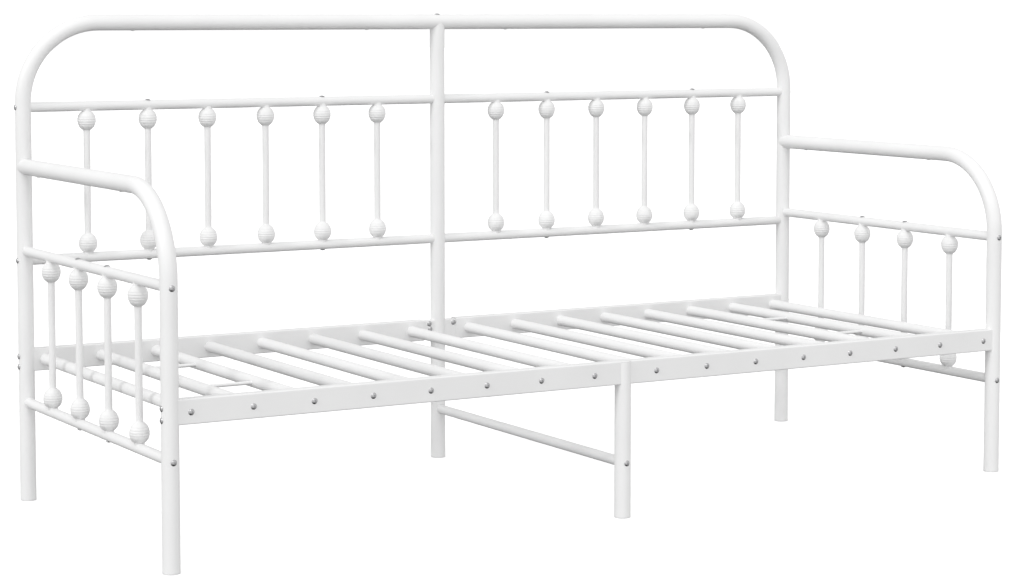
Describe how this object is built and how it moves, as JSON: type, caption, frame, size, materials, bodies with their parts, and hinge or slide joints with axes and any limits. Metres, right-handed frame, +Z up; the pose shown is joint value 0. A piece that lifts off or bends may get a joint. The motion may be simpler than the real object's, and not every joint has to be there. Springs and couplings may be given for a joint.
{
  "type": "daybed",
  "caption": "Metal daybed with a round-cornered back arch, lower bent arms, beaded spindles, tube slats between box side rails, and legs that stand on the floor.",
  "frame": {"origin": "on the floor under the middle of the bed", "axes": "+X along the bed to the right as seen from the front, -Y to the front, +Z up"},
  "size_m": [2.101, 0.856, 1.068],
  "materials": {
    "frame": "satin white powder coat on round steel tube",
    "rail": "satin white powder coat on slim round tube and box-section tube",
    "spindle": "satin white powder coat over rods with cast beads",
    "slat": "satin white powder coat on the slats and thin tie rods"
  },
  "bodies": {
    "root": {"back_arch": "frame", "arm_left": "frame", "arm_right": "frame", "rear_centre_post": "frame", "front_centre_leg": "frame", "back_upper_rail_left": "rail", "back_upper_rail_right": "rail", "back_lower_rail_left": "rail", "back_lower_rail_right": "rail", "arm_left_upper_rail": "rail", "arm_right_upper_rail": "rail", "arm_left_lower_rail": "rail", "arm_right_lower_rail": "rail", "centre_crossbar": "rail", "front_rail_left": "rail", "front_rail_right": "rail", "rear_rail_left": "rail", "rear_rail_right": "rail", "back_spindle_left_1": "spindle", "back_spindle_left_2": "spindle", "back_spindle_left_3": "spindle", "back_spindle_left_4": "spindle", "back_spindle_left_5": "spindle", "back_spindle_left_6": "spindle", "back_spindle_right_1": "spindle", "back_spindle_right_2": "spindle", "back_spindle_right_3": "spindle", "back_spindle_right_4": "spindle", "back_spindle_right_5": "spindle", "back_spindle_right_6": "spindle", "arm_spindle_left_1": "spindle", "arm_spindle_left_2": "spindle", "arm_spindle_left_3": "spindle", "arm_spindle_left_4": "spindle", "arm_spindle_right_1": "spindle", "arm_spindle_right_2": "spindle", "arm_spindle_right_3": "spindle", "arm_spindle_right_4": "spindle", "slat_01": "slat", "slat_02": "slat", "slat_03": "slat", "slat_04": "slat", "slat_05": "slat", "slat_06": "slat", "slat_07": "slat", "slat_08": "slat", "slat_09": "slat", "slat_10": "slat", "slat_11": "slat", "slat_12": "slat", "slat_13": "slat", "slat_14": "slat", "slat_15": "slat", "slat_16": "slat", "tie_rod_left_front": "slat", "tie_rod_left_rear": "slat", "tie_rod_right_front": "slat", "tie_rod_right_rear": "slat"}
  },
  "joints": []
}
